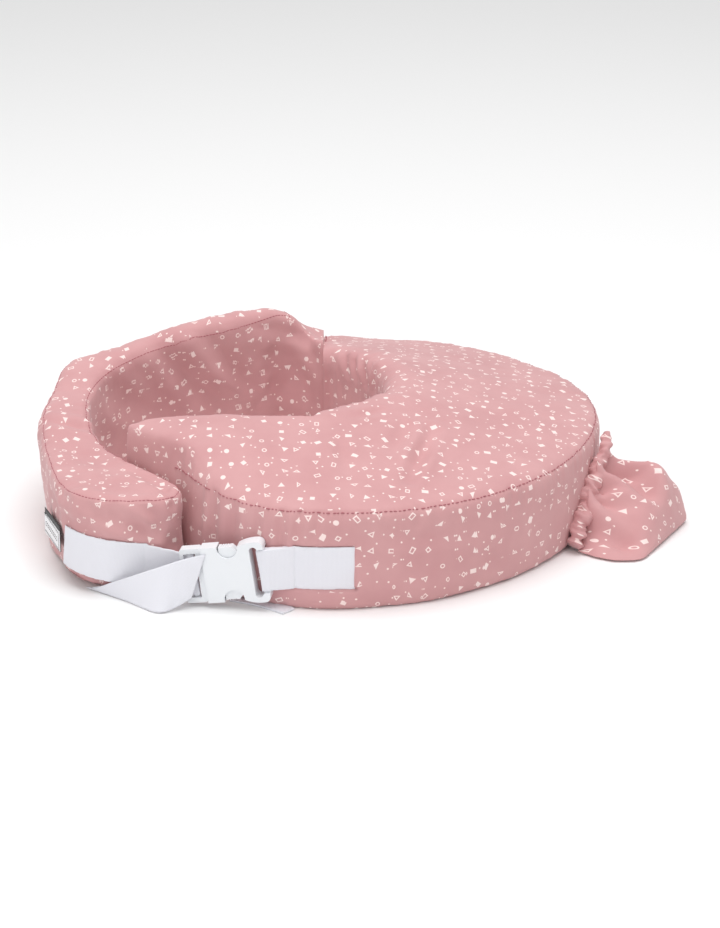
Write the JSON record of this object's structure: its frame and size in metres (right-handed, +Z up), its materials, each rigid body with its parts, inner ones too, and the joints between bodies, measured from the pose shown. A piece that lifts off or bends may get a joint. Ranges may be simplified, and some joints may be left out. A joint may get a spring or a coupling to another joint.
{
  "type": "nursing pillow",
  "caption": "Wrap-around foam nursing pillow with a waist opening, hinged backrest, webbing strap with side-release buckle and a side pocket.",
  "frame": {"origin": "middle of the footprint, on the surface that the pillow rests on", "axes": "+X towards the wearer's front, +Y towards the wearer's left, +Z up"},
  "size_m": [0.5944, 0.4694, 0.1453],
  "materials": {
    "printed_cotton": "matte printed weave",
    "foam": "open-cell foam",
    "webbing": "ribbed webbing",
    "buckle_plastic": "satin",
    "label_cloth": "woven",
    "black_cloth": "woven",
    "binding": "elastic weave",
    "zip_tape": "woven",
    "zip_plastic": "moulded",
    "zip_metal": "plated"
  },
  "bodies": {
    "table": {"foam_table": "foam", "table_top_panel": "printed_cotton", "table_outer_band": "printed_cotton", "waist_band": "printed_cotton", "table_bottom_panel": "printed_cotton", "arm_end_panel": "printed_cotton", "far_arm_end_panel": "printed_cotton", "fold_strip": "printed_cotton", "strap_short": "webbing", "buckle_female": "buckle_plastic", "pocket_binding": "binding", "pocket_hem": "printed_cotton", "hem_elastic": "binding"},
    "backrest": {"foam_backrest": "foam", "backrest_top_panel": "printed_cotton", "backrest_outer_panel": "printed_cotton", "backrest_inner_panel": "printed_cotton", "backrest_bottom_panel": "printed_cotton", "lap_panel": "printed_cotton", "backrest_hinge_panel": "printed_cotton", "strap_long": "webbing", "buckle_male": "buckle_plastic", "label_face": "label_cloth", "label_backing": "black_cloth", "zip_tapes": "zip_tape", "zip_coil": "zip_plastic", "zip_bottom_stop": "zip_metal", "zip_top_stop": "zip_metal"},
    "prong_upper": {"prong_upper": "buckle_plastic"},
    "prong_lower": {"prong_lower": "buckle_plastic"},
    "strap_tail": {"strap_tail": "webbing"},
    "zip_slider": {"zip_slider": "zip_metal"},
    "zip_pull": {"zip_pull": "zip_metal"},
    "pocket": {"pocket_pouch": "printed_cotton"}
  },
  "joints": [
    {"name": "backrest_swing", "type": "hinge", "parent": "table", "child": "backrest", "pos_m": [-0.03886, 0.23234, 0.046], "axis": [0, 0, -1], "range_deg": [0, 70]},
    {"name": "prong_upper_squeeze", "type": "hinge", "parent": "backrest", "child": "prong_upper", "pos_m": [-0.13976, -0.21203, 0.04831], "axis": [0.1548, 0.9879, 0], "range_deg": [0, 6], "stiffness_Nm_per_rad": 0.3},
    {"name": "prong_lower_squeeze", "type": "hinge", "parent": "backrest", "child": "prong_lower", "pos_m": [-0.13497, -0.21278, 0.01365], "axis": [-0.1548, -0.9879, 0], "range_deg": [0, 6], "stiffness_Nm_per_rad": 0.3},
    {"name": "strap_tail_pull", "type": "slide", "parent": "backrest", "child": "strap_tail", "axis": [-0.9879, 0.1548, 0], "range_m": [0, 0.04]},
    {"name": "zip_slider_travel", "type": "slide", "parent": "backrest", "child": "zip_slider", "axis": [0.9003, 0.4352, 0], "range_m": [0, 0.128]},
    {"name": "zip_pull_turn", "type": "hinge", "parent": "zip_slider", "child": "zip_pull", "pos_m": [-0.25888, 0.1277, 0.06418], "axis": [0.1417, -0.2931, 0.9455], "range_deg": [0, 150]},
    {"name": "pocket_lift", "type": "hinge", "parent": "table", "child": "pocket", "pos_m": [0.2156, -0.06121, 0.074], "axis": [-0.4291, -0.9033, 0], "range_deg": [0, 45]}
  ],
  "couplings": [
    {"joint": "prong_lower_squeeze", "follows": "prong_upper_squeeze", "ratio": 1}
  ]
}
